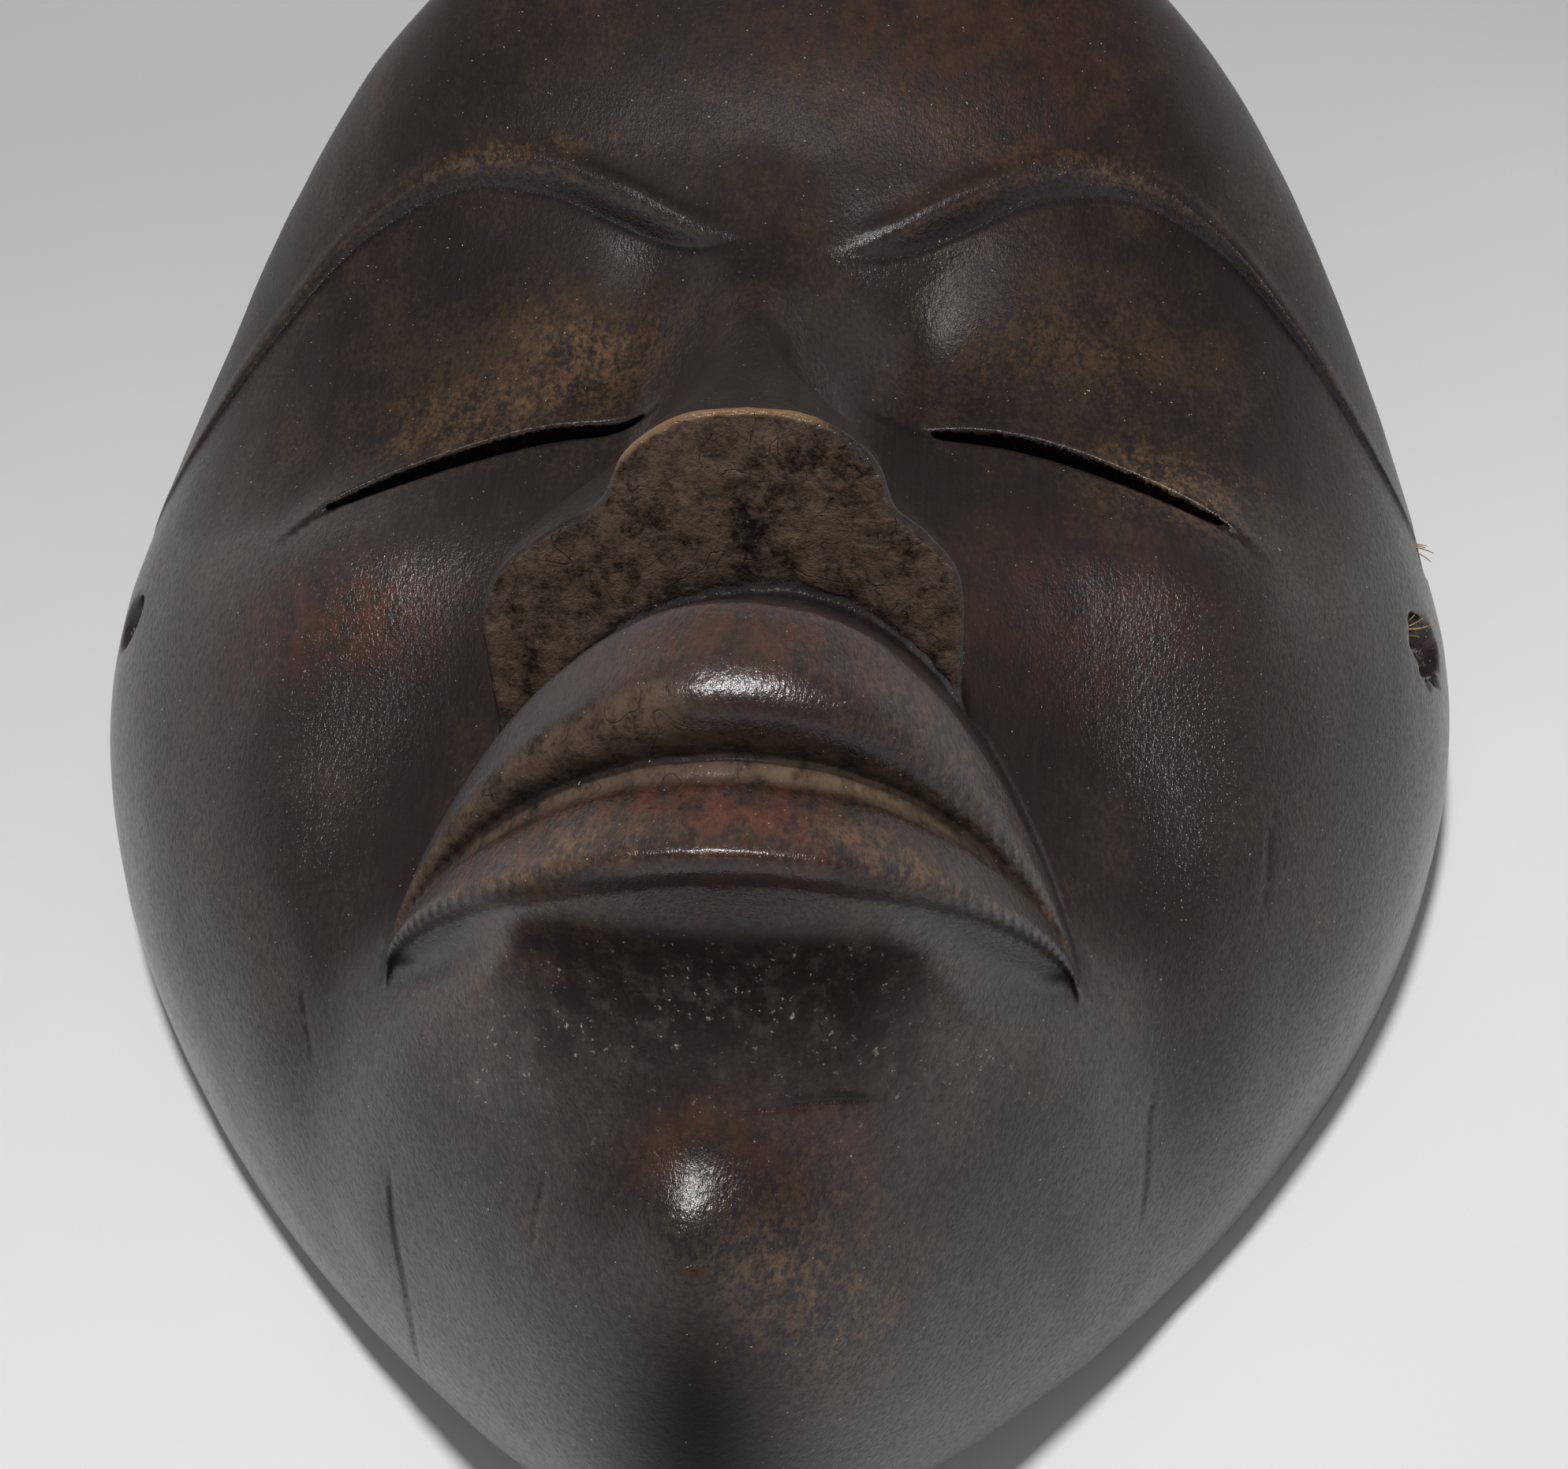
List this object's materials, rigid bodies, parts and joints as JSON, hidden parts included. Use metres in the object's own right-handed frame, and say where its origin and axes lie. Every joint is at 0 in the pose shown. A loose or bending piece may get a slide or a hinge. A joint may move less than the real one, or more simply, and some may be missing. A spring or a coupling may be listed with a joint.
{
  "type": "carved wooden face mask",
  "caption": "Hollow oval face mask carved from dark wood, with a domed forehead, arched brow line, narrow slit eyes, flat-cut nose, projecting lips and cord holes near the rim.",
  "frame": {"origin": "on the surface that the mask lies on, under the middle of its bounding box", "axes": "+X to the viewer's right when looking at the face, +Y up the face to the forehead, +Z out of the face"},
  "size_m": [0.159, 0.2378, 0.08],
  "materials": {
    "wood": "dark brown-black handled patina with a low wax sheen, worn reddish and tan on the edges",
    "fibre": "dull straw-coloured plant fibre"
  },
  "bodies": {
    "root": {"mask_body": "wood", "fibre_lower_hole": "fibre", "fibre_upper_hole": "fibre"}
  },
  "joints": []
}
